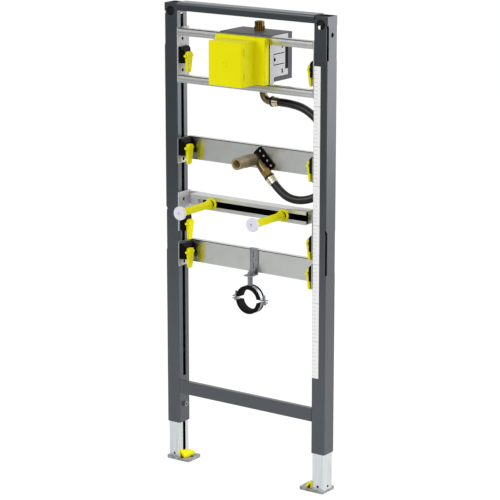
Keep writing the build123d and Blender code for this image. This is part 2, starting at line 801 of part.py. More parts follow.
# Zinc side plates of the valve carrier, notched round the upper rail and slotted at the back
rail_back = valve_rail_front + valve_rail_depth
upper_rail_low = post_bottom + upper_rail_level
side_mid = (lower_rail_top + carrier_top) / 2
tab_y = front + side_tab_start
for name, side in sides:
    with BuildPart() as side_plate:
        with BuildSketch(Plane.YZ.offset(side * carrier_width / 2)):
            with BuildLine():
                Polyline(
                    (side_front, lower_rail_top),
                    (side_front, upper_rail_low - side_plate_step),
                    (rail_back + side_plate_step, upper_rail_low - side_plate_step),
                    (rail_back + side_plate_step, carrier_top),
                    (strip_front_y, carrier_top),
                    (strip_front_y, carrier_low + carrier_foot_strip),
                    (side_leg_back, carrier_low + carrier_foot_strip),
                    (side_leg_back, lower_rail_top),
                    close=True,
                )
            make_face()
            with Locations((strip_front_y, side_mid)):
                Rectangle(2 * side_window_depth, side_window_height, mode=Mode.SUBTRACT)
            with Locations((tab_y, side_mid)):
                Rectangle(side_tab_slot, side_tab_height + side_tab_slot, mode=Mode.SUBTRACT)
            with Locations((tab_y + side_tab_notch_radius, side_mid)):
                Circle(side_tab_notch_radius, mode=Mode.SUBTRACT)
            with Locations((tab_y + side_tab_length / 2, side_mid)):
                with GridLocations(0, side_tab_height, 1, 2):
                    Rectangle(side_tab_length, side_tab_slot, mode=Mode.SUBTRACT)
            with Locations((strip_front_y - side_slot_setback, side_mid)):
                with GridLocations(0, side_slot_pitch, 1, 2):
                    Rectangle(side_slot_width, side_slot_height, mode=Mode.SUBTRACT)
        extrude(amount=-side * sheet)
    save(side_plate, f"{name}_valve_side")

# Valve body, its inlet stub through the top of the carrier and its outlet elbow below
body_low = carrier_low + carrier_wall
stub_low = carrier_top - valve_body_headroom
with BuildPart() as valve_body:
    with BuildSketch(Plane.XY.offset(body_low)):
        with Locations((0, valve_y)):
            Circle(valve_body_radius)
    extrude(amount=stub_low - body_low)
save(valve_body, "valve_body")

stub_seat = carrier_top + carrier_wall
stub_top = stub_seat + inlet_flange_height + inlet_length
with BuildPart() as inlet_stub:
    with BuildSketch(Plane.YZ):
        with BuildLine():
            Polyline(
                (valve_y, stub_low),
                (valve_y + tail_radius, stub_low),
                (valve_y + tail_radius, stub_seat),
                (valve_y + inlet_radius, stub_seat),
                (valve_y + inlet_radius, stub_top),
                (valve_y + inlet_bore_radius, stub_top),
                (valve_y + inlet_bore_radius, stub_top - inlet_bore_depth),
                (valve_y, stub_top - inlet_bore_depth),
                close=True,
            )
        make_face()
    revolve(axis=Axis((0, valve_y, 0), (0, 0, 1)))
    with BuildSketch(Plane.XY.offset(stub_seat)):
        with Locations((0, valve_y)):
            RegularPolygon(inlet_flange_radius, 6)
            Circle(inlet_bore_radius, mode=Mode.SUBTRACT)
    extrude(amount=inlet_flange_height)
save(inlet_stub, "inlet_stub")

tail_axis_z = lower_rail_top - tail_drop
tail_end_x = tail_offset + tail_reach
with BuildPart() as flush_elbow:
    with BuildLine(Plane.XZ.offset(-valve_y)) as tail_path:
        FilletPolyline(
            (tail_offset, body_low),
            (tail_offset, tail_axis_z),
            (tail_end_x, tail_axis_z),
            radius=tail_bend,
        )
    with BuildSketch(Plane((tail_offset, valve_y, body_low), z_dir=(0, 0, -1))):
        Circle(tail_radius)
        Circle(tail_radius - tail_wall, mode=Mode.SUBTRACT)
    sweep(path=tail_path.wires()[0])
save(flush_elbow, "flush_elbow")


def ferrule_profile():
    # Half section of a hose ferrule along its own axis, from its neck to the hose.
    band_start = ferrule_length - ferrule_band
    groove_start = band_start - ferrule_groove
    Polygon(
        (0, 0),
        (0, ferrule_neck_radius),
        (ferrule_neck_length, ferrule_neck_radius),
        (ferrule_neck_length, ferrule_radius),
        (groove_start, ferrule_radius),
        (groove_start, ferrule_groove_radius),
        (band_start, ferrule_groove_radius),
        (band_start, ferrule_radius),
        (ferrule_length, ferrule_radius),
        (ferrule_length, 0),
        align=None,
    )


upper_ferrule_plane = Plane((tail_end_x, valve_y, tail_axis_z), x_dir=(1, 0, 0), z_dir=(0, -1, 0))
with BuildPart() as upper_ferrule:
    with BuildSketch(upper_ferrule_plane):
        ferrule_profile()
    revolve(axis=Axis(upper_ferrule_plane.origin, upper_ferrule_plane.x_dir))
save(upper_ferrule, "upper_hose_ferrule")

# Flush outlet on the outlet traverse
outlet_bracket_front = traverse_front - outlet_bracket_thickness
outlet_y = outlet_bracket_front - outlet_standoff
outlet_z = post_bottom + outlet_traverse_level + outlet_rise
outlet_center = Vector(outlet_x, outlet_y, outlet_z)
leg_dir = Vector(cos(radians(outlet_leg_angle)), 0, -sin(radians(outlet_leg_angle)))
bracket_plane = Plane((outlet_x, traverse_front, outlet_z), x_dir=leg_dir, z_dir=(0, -1, 0))
with BuildPart() as outlet_bracket:
    with BuildSketch(bracket_plane):
        with Locations((-outlet_bracket_lap, outlet_bracket_shift)):
            RectangleRounded(
                outlet_bracket_length,
                outlet_bracket_width,
                outlet_bracket_corner,
                align=(Align.MIN, Align.CENTER),
            )
        with Locations((outlet_bracket_length / 2 - outlet_bracket_lap, outlet_bracket_width / 2)):
            with GridLocations(outlet_hole_pitch, 0, outlet_hole_count, 1) as bracket_holes:
                Circle(outlet_hole_radius, mode=Mode.SUBTRACT)
        with Locations(bracket_holes.locations[0]):
            Circle(outlet_window_radius, mode=Mode.SUBTRACT)
    extrude(amount=outlet_bracket_thickness)
save(outlet_bracket, "outlet_bracket")

spigot_back = outlet_y - spigot_seat
with BuildPart() as outlet_elbow:
    with BuildSketch(Plane(outlet_center, z_dir=leg_dir)):
        Circle(outlet_boss_radius)
    with BuildSketch(Plane(outlet_center + leg_dir * outlet_leg_length, z_dir=leg_dir)):
        Circle(outlet_leg_radius)
    loft()
    with BuildSketch(Plane.XZ.offset(-spigot_back)):
        with Locations((outlet_x, outlet_z)):
            Circle(outlet_joint_radius)
    extrude(amount=-spigot_seat)
    with BuildSketch(Plane.XZ.offset(-outlet_y)):
        with Locations((outlet_x, outlet_z)):
            Circle(outlet_boss_radius)
    extrude(amount=-outlet_standoff)
    with Locations(outlet_center):
        Sphere(outlet_joint_radius)
    split(bisect_by=Plane.XZ.offset(-outlet_bracket_front), keep=Keep.TOP)
save(outlet_elbow, "outlet_elbow")

with BuildPart() as outlet_spigot:
    with BuildSketch(Plane.XZ.offset(-spigot_back)):
        with Locations((outlet_x, outlet_z)):
            Circle(spigot_radius)
    extrude(amount=spigot_length)
    for rib in range(spigot_rib_count):
        with BuildSketch(Plane.XZ.offset(-spigot_back + spigot_rib_pitch * (2 * rib + 1) / 2)):
            with Locations((outlet_x, outlet_z)):
                Circle(spigot_radius + spigot_rib)
        extrude(amount=spigot_rib_pitch / 2)
    with BuildSketch(Plane.XZ.offset(-spigot_back + spigot_length)):
        with Locations((outlet_x, outlet_z)):
            Circle(spigot_bore_radius)
    extrude(amount=-spigot_bore_depth, mode=Mode.SUBTRACT)
save(outlet_spigot, "outlet_spigot")

nut_start = outlet_center + leg_dir * outlet_leg_length
nut_plane = Plane(nut_start, x_dir=bracket_plane.y_dir, z_dir=leg_dir)
with BuildPart() as outlet_nut:
    with BuildSketch(nut_plane):
        RegularPolygon(outlet_nut_radius, 6)
    extrude(amount=outlet_nut_length)
save(outlet_nut, "outlet_nut")

lower_ferrule_start = nut_start + leg_dir * outlet_nut_length
lower_ferrule_plane = Plane(lower_ferrule_start, x_dir=leg_dir, z_dir=(0, -1, 0))
with BuildPart() as lower_ferrule:
    with BuildSketch(lower_ferrule_plane):
        ferrule_profile()
    revolve(axis=Axis(lower_ferrule_start, leg_dir))
save(lower_ferrule, "lower_hose_ferrule")

# Flush hose: from the valve it loops behind the right post and comes back to the outlet.
# Its ends leave the two ferrules straight, and the points between them are chosen by hand.
hose_start = Vector(tail_end_x + ferrule_length, valve_y, tail_axis_z)
hose_end = lower_ferrule_start + leg_dir * ferrule_length
hose_points = [
    hose_start,
    hose_start + Vector(hose_upper_lead, 0, 0),
    Vector(162, 47, 966),
    Vector(200, 47, 928),
    Vector(220, 46, 879),
    Vector(220, 45, 808),
    Vector(203, 41, 774),
    Vector(172, 30, 752),
    Vector(135, 16, 746),
    hose_end + leg_dir * hose_lower_lead,
    hose_end,
]
hose_runs = [b - a for a, b in zip(hose_points, hose_points[1:])]
hose_radii = [
    hose_bend_share * min(a.length, b.length) / tan(radians(a.get_angle(b)) / 2)
    for a, b in zip(hose_runs, hose_runs[1:])
]
print("hose radii", [round(r) for r in hose_radii])
with BuildPart() as hose:
    with BuildLine() as hose_path:
        FilletPolyline(*hose_points, radius=hose_radii)
    with BuildSketch(Plane(hose_start, z_dir=hose_runs[0])):
        Circle(hose_radius)
    sweep(path=hose_path.wires()[0])
print("hose length", round(hose_path.wires()[0].length))
save(hose, "hose")

# Drain clamp: hanger on the drain traverse with a stud that carries the two half shells
drain_z = post_bottom + drain_traverse_level - drain_axis_drop
drain_y = front + drain_axis_depth
hanger_low = post_bottom + drain_traverse_level - hanger_drop
hanger_high = post_bottom + drain_traverse_level + traverse_height
with BuildPart() as drain_hanger:
    with BuildSketch(Plane.XZ.offset(-traverse_front)):
        with Locations((0, hanger_low)):
            Rectangle(hanger_width, hanger_high - hanger_low, align=(Align.CENTER, Align.MIN))
        with Locations((0, post_bottom + drain_traverse_level + traverse_height / 2)):
            with GridLocations(0, traverse_height / 2, 1, 2):
                SlotOverall(hanger_slot_length, hanger_slot_width, rotation=90, mode=Mode.SUBTRACT)
    extrude(amount=hanger_thickness)
    with BuildSketch(Plane.XY.offset(hanger_high)):
        with Locations((0, traverse_front - hanger_thickness)):
            Rectangle(hanger_width, hanger_hook, align=(Align.CENTER, Align.MIN))
    extrude(amount=hanger_thickness)
    with BuildSketch(Plane.XY.offset(hanger_low)):
        with Locations((0, traverse_front)):
            Rectangle(hanger_width, hanger_foot, align=(Align.CENTER, Align.MAX))
        with Locations((0, drain_y)):
            Circle(stud_radius + bolt_clearance, mode=Mode.SUBTRACT)
    extrude(amount=hanger_thickness)
save(drain_hanger, "drain_hanger")

shell_inner = shell_radius - shell_wall
stud_low = drain_z + shell_radius
stud_nut_seat = hanger_low + hanger_thickness
coupling_low = stud_low + liner_lip + liner_clearance
with BuildPart() as drain_stud:
    with BuildSketch(Plane.XY.offset(stud_low)):
        with Locations((0, drain_y)):
            Circle(stud_radius)
    extrude(amount=stud_nut_seat + 2 * stud_nut_height - stud_low)
    with BuildSketch(Plane.XY.offset(stud_nut_seat)):
        with Locations((0, drain_y)):
            RegularPolygon(stud_nut_radius, 6)
    extrude(amount=stud_nut_height)
    with BuildSketch(Plane.XY.offset(coupling_low)):
        with Locations((0, drain_y)):
            RegularPolygon(stud_nut_radius, 6)
    extrude(amount=hanger_low - coupling_low)
save(drain_stud, "drain_stud")

ear_x = shell_radius + ear_length / 2
ear_zone = shell_split / 2 + ear_thickness + liner_clearance
halves = (("lower", -1), ("upper", 1))
for name, up in halves:
    with BuildPart() as shell:
        with BuildSketch(Plane.XZ.offset(-drain_y - shell_width / 2)):
            with Locations((0, drain_z)):
                Circle(shell_radius)
            with Locations((0, drain_z + up * (shell_split / 2 + ear_thickness / 2))):
                Rectangle(2 * (shell_radius + ear_length), ear_thickness)
            with Locations((0, drain_z)):
                Circle(shell_inner, mode=Mode.SUBTRACT)
            with Locations((0, drain_z + up * shell_split / 2)):
                Rectangle(
                    4 * shell_radius,
                    2 * shell_radius,
                    align=(Align.CENTER, Align.MAX if up > 0 else Align.MIN),
                    mode=Mode.SUBTRACT,
                )
        extrude(amount=shell_width)
        with Locations((0, drain_y, drain_z)):
            with GridLocations(2 * ear_x, 0, 2, 1):
                Cylinder(ear_screw_radius + bolt_clearance, 2 * shell_radius, mode=Mode.SUBTRACT)
    save(shell, f"{name}_drain_shell")

    with BuildPart() as liner:
        with BuildSketch(Plane.XZ.offset(-drain_y - liner_width / 2)):
            with Locations((0, drain_z)):
                Circle(shell_radius + liner_lip)
                Circle(liner_bore_radius, mode=Mode.SUBTRACT)
            with Locations((0, drain_z + up * ear_zone)):
                Rectangle(
                    4 * shell_radius,
                    2 * shell_radius,
                    align=(Align.CENTER, Align.MAX if up > 0 else Align.MIN),
                    mode=Mode.SUBTRACT,
                )
        extrude(amount=liner_width)
        with BuildSketch(Plane.XZ.offset(-drain_y - shell_width / 2 - liner_clearance)):
            with Locations((0, drain_z)):
                Circle(2 * shell_radius)
                Circle(shell_inner, mode=Mode.SUBTRACT)
        extrude(amount=shell_width + 2 * liner_clearance, mode=Mode.SUBTRACT)
    save(liner, f"{name}_drain_liner")

ear_top = drain_z + shell_split / 2 + ear_thickness
ear_bottom = drain_z - shell_split / 2 - ear_thickness
with BuildPart() as ear_screws:
    for _, side in sides:
        with BuildSketch(Plane.XY.offset(ear_bottom)):
            with Locations((side * ear_x, drain_y)):
                RegularPolygon(ear_head_radius, 6)
        extrude(amount=-ear_head_height)
        with BuildSketch(Plane.XY.offset(ear_bottom)):
            with Locations((side * ear_x, drain_y)):
                Circle(ear_screw_radius)
        extrude(amount=ear_top + ear_screw_rise - ear_bottom)
save(ear_screws, "ear_screws")

# Height scale: paper strip stuck on the front of the right post
with BuildPart() as height_scale:
    with BuildSketch(Plane.XZ.offset(-front)):
        with Locations((inner_x + scale_inset, post_bottom + scale_level)):
            Rectangle(scale_width, scale_length, align=(Align.MIN, Align.MIN))
    extrude(amount=scale_thickness)
save(height_scale, "height_scale")
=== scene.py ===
import math

import bpy
from mathutils import Matrix, Vector


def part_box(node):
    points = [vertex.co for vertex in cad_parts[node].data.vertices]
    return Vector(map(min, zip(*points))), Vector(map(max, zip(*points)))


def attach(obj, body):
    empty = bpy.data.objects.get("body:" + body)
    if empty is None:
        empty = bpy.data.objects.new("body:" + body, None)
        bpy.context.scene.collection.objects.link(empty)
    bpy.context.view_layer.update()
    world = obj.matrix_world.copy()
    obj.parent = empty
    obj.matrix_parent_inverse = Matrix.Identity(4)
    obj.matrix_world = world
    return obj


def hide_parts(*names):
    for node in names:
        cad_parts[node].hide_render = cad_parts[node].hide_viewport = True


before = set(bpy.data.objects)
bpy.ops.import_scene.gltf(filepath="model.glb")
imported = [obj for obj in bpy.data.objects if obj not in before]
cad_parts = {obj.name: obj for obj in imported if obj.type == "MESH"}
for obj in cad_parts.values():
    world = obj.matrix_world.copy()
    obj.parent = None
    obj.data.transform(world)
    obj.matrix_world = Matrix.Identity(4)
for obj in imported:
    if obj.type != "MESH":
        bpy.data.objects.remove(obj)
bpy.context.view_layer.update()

# Posts and crossbars: square steel tube and folded bars, welded into one frame.
# They are powder coated in anthracite after welding, so the coat runs over every edge and hole.


def linear(code):
    # sRGB hex value to the linear colour that a shader socket takes.
    shares = [int(code[i : i + 2], 16) / 255 for i in (1, 3, 5)]
    curve = [s / 12.92 if s <= 0.04045 else ((s + 0.055) / 1.055) ** 2.4 for s in shares]
    return (*curve, 1.0)


def add_node(tree, kind, inputs=None, **settings):
    # One node with its settings; an input is either a number or colour, or a socket to link.
    node = tree.nodes.new(kind)
    for name, value in settings.items():
        setattr(node, name, value)
    for socket, value in (inputs or {}).items():
        if isinstance(value, bpy.types.NodeSocket):
            tree.links.new(value, node.inputs[socket])
        else:
            node.inputs[socket].default_value = value
    return node


def start_material(name):
    material = bpy.data.materials.new(name)
    material.use_nodes = True
    material.node_tree.nodes.clear()
    place = add_node(material.node_tree, "ShaderNodeTexCoord").outputs["Object"]
    return material, material.node_tree, place


def end_material(tree, inputs):
    # The surface of the whole material, from the colours and patterns made before.
    shader = add_node(tree, "ShaderNodeBsdfPrincipled", inputs)
    add_node(tree, "ShaderNodeOutputMaterial", {"Surface": shader.outputs["BSDF"]})


def dress(material, *names):
    for name in names:
        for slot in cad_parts[name].material_slots:
            slot.material = material


def mottle(tree, point, width, detail, dark, light, spread=(0.0, 1.0)):
    # Patches about as wide as given, in metres, that wander between two colours. The colours are
    # reached at the two heights of the spread. Gives the patches and their colour.
    patches = add_node(
        tree,
        "ShaderNodeTexNoise",
        {"Vector": point, "Scale": 1 / width, "Detail": detail},
    )
    tone = add_node(tree, "ShaderNodeValToRGB", {"Fac": patches.outputs["Fac"]})
    for stop, height, colour in zip(tone.color_ramp.elements, spread, (dark, light)):
        stop.position = height
        stop.color = linear(colour)
    return patches.outputs["Fac"], tone.outputs["Color"]


def inside_box(tree, point, low, high):
    # 1 where the point lies between the two corners, and 0 elsewhere.
    spot = add_node(tree, "ShaderNodeSeparateXYZ", {"Vector": point})
    inside = 1.0
    for axis, bottom, top in zip("XYZ", low, high):
        band = add_node(
            tree,
            "ShaderNodeMath",
            {0: spot.outputs[axis], 1: (bottom + top) / 2, 2: (top - bottom) / 2},
            operation="COMPARE",
        )
        both = add_node(
            tree,
            "ShaderNodeMath",
            {0: band.outputs["Value"], 1: inside},
            operation="MULTIPLY",
        )
        inside = both.outputs["Value"]
    return inside


# A Mix node's colours go by number, because its sockets for plain values have the same names.
mix_from, mix_to, mixed = 6, 7, 2

# Polyester powder coat: a satin dark grey with a faint orange peel. The real peel is about 2 mm
# wide; it is drawn 6 mm wide, so that it shows at this distance. Inside the posts the colour is
# painted black as painted shade, and the coat is made dull there.
powder_coat, tree, place = start_material("anthracite_powder_coat")
cloud, tone = mottle(tree, place, width=0.15, detail=3.0, dark="#101418", light="#161A1F")
peel_width = 0.006
peel = add_node(tree, "ShaderNodeTexNoise", {"Vector": place, "Scale": 1 / peel_width, "Detail": 2.0})
post_low, post_high = (Vector(corner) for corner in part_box("right_post"))
coated_skin = Vector((0.0014, 0.0014, 0.0))
either_post = add_node(tree, "ShaderNodeVectorMath", {0: place}, operation="ABSOLUTE")
hollow = inside_box(tree, either_post.outputs["Vector"], post_low + coated_skin, post_high - coated_skin)
# Painted shade: inside the posts the colour turns black.
painted_inside_shade = add_node(
    tree,
    "ShaderNodeMix",
    {"Factor": hollow, mix_from: tone, mix_to: linear("#000000")},
    data_type="RGBA",
)
gloss = add_node(tree, "ShaderNodeMapRange", {"Value": cloud, "To Min": 0.28, "To Max": 0.34})
dull = add_node(
    tree,
    "ShaderNodeMath",
    {0: gloss.outputs["Result"], 1: hollow},
    operation="MAXIMUM",
)
bump = add_node(
    tree,
    "ShaderNodeBump",
    {"Height": peel.outputs["Fac"], "Strength": 0.08, "Distance": 0.0005},
)
end_material(
    tree,
    {
        "Base Color": painted_inside_shade.outputs[mixed],
        "Roughness": dull.outputs["Value"],
        "IOR": 1.64,
        "Specular IOR Level": 1.0,
        "Specular Tint": linear("#E6EEF6"),
        "Normal": bump.outputs["Normal"],
    },
)
dress(powder_coat, "left_post", "right_post", "top_crossbar", "bottom_crossbar")

# Foot legs: square legs of drawn steel tube that slide in the posts and set the frame's height.
# Each is held at its height by a lock screw.

# Bright zinc on drawn tube: pale, with fine lines along the tube. They are drawn 4 mm apart, where
# the real ones are under 1 mm. The bore and the top, which never leaves the post, are painted
# near black as painted shade.
foot_zinc, tree, place = start_material("bright_zinc_plated_tube")
leg_low, leg_high = (Vector(corner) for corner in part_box("right_foot_leg"))
plated_skin = Vector((0.001, 0.001, -0.001))
in_post_shade_from = 0.215
either_leg = add_node(tree, "ShaderNodeVectorMath", {0: place}, operation="ABSOLUTE")
bore = inside_box(tree, either_leg.outputs["Vector"], leg_low + plated_skin, leg_high - plated_skin)
in_post_shade = inside_box(tree, either_leg.outputs["Vector"], (0.0, -1.0, in_post_shade_from), (1.0, 1.0, 1.0))
# Painted shade: the bore and the top inside the post turn near black.
dark = add_node(tree, "ShaderNodeMath", {0: bore, 1: in_post_shade}, operation="MAXIMUM")
line_stretch = 25
drawn = add_node(
    tree,
    "ShaderNodeMapping",
    {"Vector": place, "Scale": (1.0, 1.0, 1 / line_stretch)},
)
lines, bright = mottle(
    tree,
    drawn.outputs["Vector"],
    width=0.004,
    detail=3.0,
    dark="#D2D6D8",
    light="#E6EAEB",
    spread=(0.3, 0.7),
)
gloss = add_node(tree, "ShaderNodeMapRange", {"Value": lines, "To Min": 0.2, "To Max": 0.28})
tone = add_node(
    tree,
    "ShaderNodeMix",
    {"Factor": dark.outputs["Value"], mix_from: bright, mix_to: linear("#101010")},
    data_type="RGBA",
)
end_material(
    tree,
    {"Base Color": tone.outputs[mixed], "Metallic": 1.0, "Roughness": gloss.outputs["Result"]},
)
dress(foot_zinc, "left_foot_leg", "right_foot_leg")

# Floor plates: thick steel plates welded under the legs and bolted to the floor.
# They are dipped in hot zinc, which leaves a duller skin with blotches 8 mm wide.
plate_steel, tree, place = start_material("hot_dip_zinc_floor_plate")
_, tone = mottle(
    tree, place, width=0.008, detail=4.0, dark="#86878B", light="#B0B1B4", spread=(0.35, 0.65)
)
end_material(tree, {"Base Color": tone, "Metallic": 1.0, "Roughness": 0.42})
dress(plate_steel, "left_foot_plate", "right_foot_plate")

# Rails and traverses: cut and folded from galvanised sheet steel, 2 mm thick, and clamped to the
# posts at their ends.


def fold_shade_lines(tree, point, names):
    # 1 at the height of each named piece's top fold, where a dark line of painted shade goes, and 0
    # elsewhere.
    drop, half_height = 0.0016, 0.001
    spot = add_node(tree, "ShaderNodeSeparateXYZ", {"Vector": point})
    folds = 0.0
    for name in names:
        line = add_node(
            tree,
            "ShaderNodeMath",
            {0: spot.outputs["Z"], 1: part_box(name)[1][2] - drop, 2: half_height},
            operation="COMPARE",
        )
        both = add_node(
            tree,
            "ShaderNodeMath",
            {0: line.outputs["Value"], 1: folds},
            operation="MAXIMUM",
        )
        folds = both.outputs["Value"]
    return folds


def end_rolled_zinc(tree, point, mask, colour):
    # Zinc whose rolling grain runs along X, with another colour where the mask is 1.
    grain, skin = mottle(
        tree, point, width=0.02, detail=4.0, dark="#CACCC9", light="#D0D2CF", spread=(0.3, 0.7)
    )
    upwards = add_node(tree, "ShaderNodeTangent", direction_type="RADIAL", axis="X")
    gloss = add_node(tree, "ShaderNodeMapRange", {"Value": grain, "To Min": 0.265, "To Max": 0.275})
    tone = add_node(
        tree,
        "ShaderNodeMix",
        {"Factor": mask, mix_from: skin, mix_to: linear(colour)},
        data_type="RGBA",
    )
    end_material(
        tree,
        {
            "Base Color": tone.outputs[mixed],
            "Metallic": 1.0,
            "Roughness": gloss.outputs["Result"],
            "Anisotropic": 0.9,
            "Tangent": upwards.outputs["Tangent"],
        },
    )


# Skin-passed galvanised sheet: its rolling grain runs along the length, so it mirrors what stands
# before it drawn out upwards. The cloudy zinc skin is drawn 20 mm wide, coarser than it is. Along
# the top folds a dark line is painted as painted shade.
zinc_sheet, tree, place = start_material("galvanised_sheet_steel")
folded = ("outlet_traverse", "drain_traverse", "lower_valve_rail", "upper_valve_rail")
# The dark line along each top fold is painted shade.
end_rolled_zinc(tree, place, fold_shade_lines(tree, place, folded), "#5A5B5A")
dress(zinc_sheet, *folded)

# End plates, bolt brackets and valve sides: punched from the same sheet, and then given a baked
# zinc flake coat. It is matt pale grey, with a fine grit drawn 4 mm wide, where the flakes are
# under 0.1 mm.
zinc_flake, tree, place = start_material("baked_zinc_flake_coat")
_, tone = mottle(
    tree, place, width=0.004, detail=3.0, dark="#B4B4B8", light="#C4C4C8", spread=(0.3, 0.7)
)
end_material(tree, {"Base Color": tone, "Roughness": 0.5, "IOR": 1.5, "Specular IOR Level": 0.3})
dress(
    zinc_flake,
    "left_valve_plate",
    "right_valve_plate",
    "left_bolt_bracket",
    "right_bolt_bracket",
    "left_valve_side",
    "right_valve_side",
)

# Bolt rail: the same sheet rolled to a box channel, and held by a bracket at each end. Its inside
# is painted near black as painted shade, which shows as a black slot from the front.
channel_zinc, tree, place = start_material("galvanised_rolled_channel")
rail_low, rail_high = (Vector(corner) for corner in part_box("bolt_rail"))
past_lip = Vector((0.015, 0.0018, 0.001))
before_back = Vector((0.015, 0.001, 0.001))
# Painted shade: the channel's inside turns near black.
channel_shade = inside_box(tree, place, rail_low + past_lip, rail_high - before_back)
end_rolled_zinc(tree, place, channel_shade, "#131312")
dress(channel_zinc, "bolt_rail")

# Fasteners and drain clamp: turned and pressed steel with a thin blue-passivated zinc plate.
# It is darker and a little bluer than the sheet, in specks drawn 2 mm wide, coarser than they are.
plated_steel, tree, place = start_material("blue_passivated_zinc_plate")
_, tone = mottle(
    tree, place, width=0.002, detail=3.0, dark="#74767A", light="#B0B2B5", spread=(0.3, 0.7)
)
end_material(tree, {"Base Color": tone, "Metallic": 1.0, "Roughness": 0.3})
dress(
    plated_steel,
    "left_lock_screw",
    "right_lock_screw",
    "bolt_rods",
    "drain_hanger",
    "drain_stud",
    "lower_drain_shell",
    "upper_drain_shell",
    "ear_screws",
)

# Yellow mouldings: valve cover, clamp levers, bolt sleeves and foot wedges, all moulded in dyed ABS.
# They are matt and even, with flow marks 60 mm wide and the fine skin of the mould, which is drawn
# 4 mm wide, coarser than it is.
yellow_abs, tree, place = start_material("yellow_moulded_abs")
_, tone = mottle(tree, place, width=0.06, detail=2.0, dark="#E4DC00", light="#EBE404")
mould_skin = 0.004
skin = add_node(tree, "ShaderNodeTexNoise", {"Vector": place, "Scale": 1 / mould_skin, "Detail": 2.0})
bump = add_node(
    tree,
    "ShaderNodeBump",
    {"Height": skin.outputs["Fac"], "Strength": 0.05, "Distance": 0.0004},
)
end_material(
    tree,
    {
        "Base Color": tone,
        "Roughness": 0.5,
        "IOR": 1.53,
        "Specular IOR Level": 0.08,
        "Normal": bump.outputs["Normal"],
    },
)
dress(
    yellow_abs,
    "valve_cover",
    "left_clamp_levers",
    "right_clamp_levers",
    "bolt_sleeves",
    "left_foot_wedge",
    "right_foot_wedge",
)

# Black mouldings: clamp blocks and the outlet bracket, moulded in glass filled nylon.
# The glass leaves a dull skin with a fine grain, drawn 3 mm wide, coarser than it is.
black_nylon, tree, place = start_material("black_glass_filled_nylon")
skin, tone = mottle(tree, place, width=0.003, detail=2.0, dark="#060606", light="#0D0D0D")
bump = add_node(tree, "ShaderNodeBump", {"Height": skin, "Strength": 0.1, "Distance": 0.0003})
end_material(
    tree,
    {
        "Base Color": tone,
        "Roughness": 0.5,
        "IOR": 1.53,
        "Specular IOR Level": 0.06,
        "Normal": bump.outputs["Normal"],
    },
)
dress(black_nylon, "left_clamp_blocks", "right_clamp_blocks", "outlet_bracket")

# White caps: moulded in polypropylene and pushed on the ends of the ceramic bolts.
# They are smooth with a soft shine, and clouded where the plastic flowed.
white_cap, tree, place = start_material("white_polypropylene")
_, tone = mottle(tree, place, width=0.02, detail=2.0, dark="#D6D4E0", light="#E2E0EA")
end_material(tree, {"Base Color": tone, "Roughness": 0.35, "IOR": 1.49})
dress(white_cap, "bolt_caps")

# Valve carrier: a moulded tray of dark grey ABS that holds the valve behind the rails.
# Its matt skin is slightly mottled, in patches 5 mm wide.
grey_abs, tree, place = start_material("dark_grey_moulded_abs")
_, tone = mottle(tree, place, width=0.005, detail=2.0, dark="#404046", light="#4C4C52")
end_material(tree, {"Base Color": tone, "Roughness": 0.5, "IOR": 1.53, "Specular IOR Level": 0.2})
dress(grey_abs, "valve_carrier")

# Valve body and elbows: sand cast in brass, and turned at their ends. The mould leaves an olive
# brown skin with the grain of the sand, drawn 4 mm wide, where the real one is under 1 mm.
cast_brass, tree, place = start_material("sand_cast_brass")
sand, tone = mottle(
    tree, place, width=0.004, detail=4.0, dark="#574C2E", light="#8C7D58", spread=(0.3, 0.7)
)
bump = add_node(tree, "ShaderNodeBump", {"Height": sand, "Strength": 0.2, "Distance": 0.0005})
end_material(
    tree,
    {"Base Color": tone, "Metallic": 1.0, "Roughness": 0.34, "Normal": bump.outputs["Normal"]},
)
dress(cast_brass, "valve_body", "flush_elbow", "outlet_elbow")

# Outlet spigot: cast in gunmetal, with a dull tan skin of oxide that hardly shines. The grooves
# between its sealing ribs are darker, and the bore is turned to the bright metal. The grain is
# drawn 3 mm wide, coarser than it is.
gunmetal, tree, place = start_material("oxidised_gunmetal")
sand, skin_colour = mottle(
    tree, place, width=0.003, detail=4.0, dark="#76684E", light="#988970", spread=(0.3, 0.7)
)
spigot_low, spigot_high = (Vector(corner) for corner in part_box("outlet_spigot"))
ribbed_from, groove_radius, bored_radius = -0.0392, 0.0154, 0.0125
to_axis = add_node(
    tree,
    "ShaderNodeVectorMath",
    {0: place, 1: (spigot_low + spigot_high) / 2},
    operation="SUBTRACT",
)
across = add_node(
    tree,
    "ShaderNodeVectorMath",
    {0: to_axis.outputs["Vector"], 1: (1.0, 0.0, 1.0)},
    operation="MULTIPLY",
)
reach = add_node(tree, "ShaderNodeVectorMath", {0: across.outputs["Vector"]}, operation="LENGTH")
below_ribs = add_node(
    tree,
    "ShaderNodeMath",
    {0: reach.outputs["Value"], 1: groove_radius},
    operation="LESS_THAN",
)
ribbed = inside_box(tree, place, (-1.0, ribbed_from, 0.0), (1.0, 1.0, 2.0))
groove = add_node(
    tree,
    "ShaderNodeMath",
    {0: below_ribs.outputs["Value"], 1: ribbed},
    operation="MULTIPLY",
)
bored = add_node(
    tree,
    "ShaderNodeMath",
    {0: reach.outputs["Value"], 1: bored_radius},
    operation="LESS_THAN",
)
for mask, colour in ((groove, "#54472F"), (bored, "#C2B284")):
    tone = add_node(
        tree,
        "ShaderNodeMix",
        {"Factor": mask.outputs["Value"], mix_from: skin_colour, mix_to: linear(colour)},
        data_type="RGBA",
    )
    skin_colour = tone.outputs[mixed]
bump = add_node(tree, "ShaderNodeBump", {"Height": sand, "Strength": 0.25, "Distance": 0.0005})
end_material(
    tree,
    {
        "Base Color": skin_colour,
        "Metallic": 0.35,
        "Roughness": 0.52,
        "Normal": bump.outputs["Normal"],
    },
)
dress(gunmetal, "outlet_spigot")
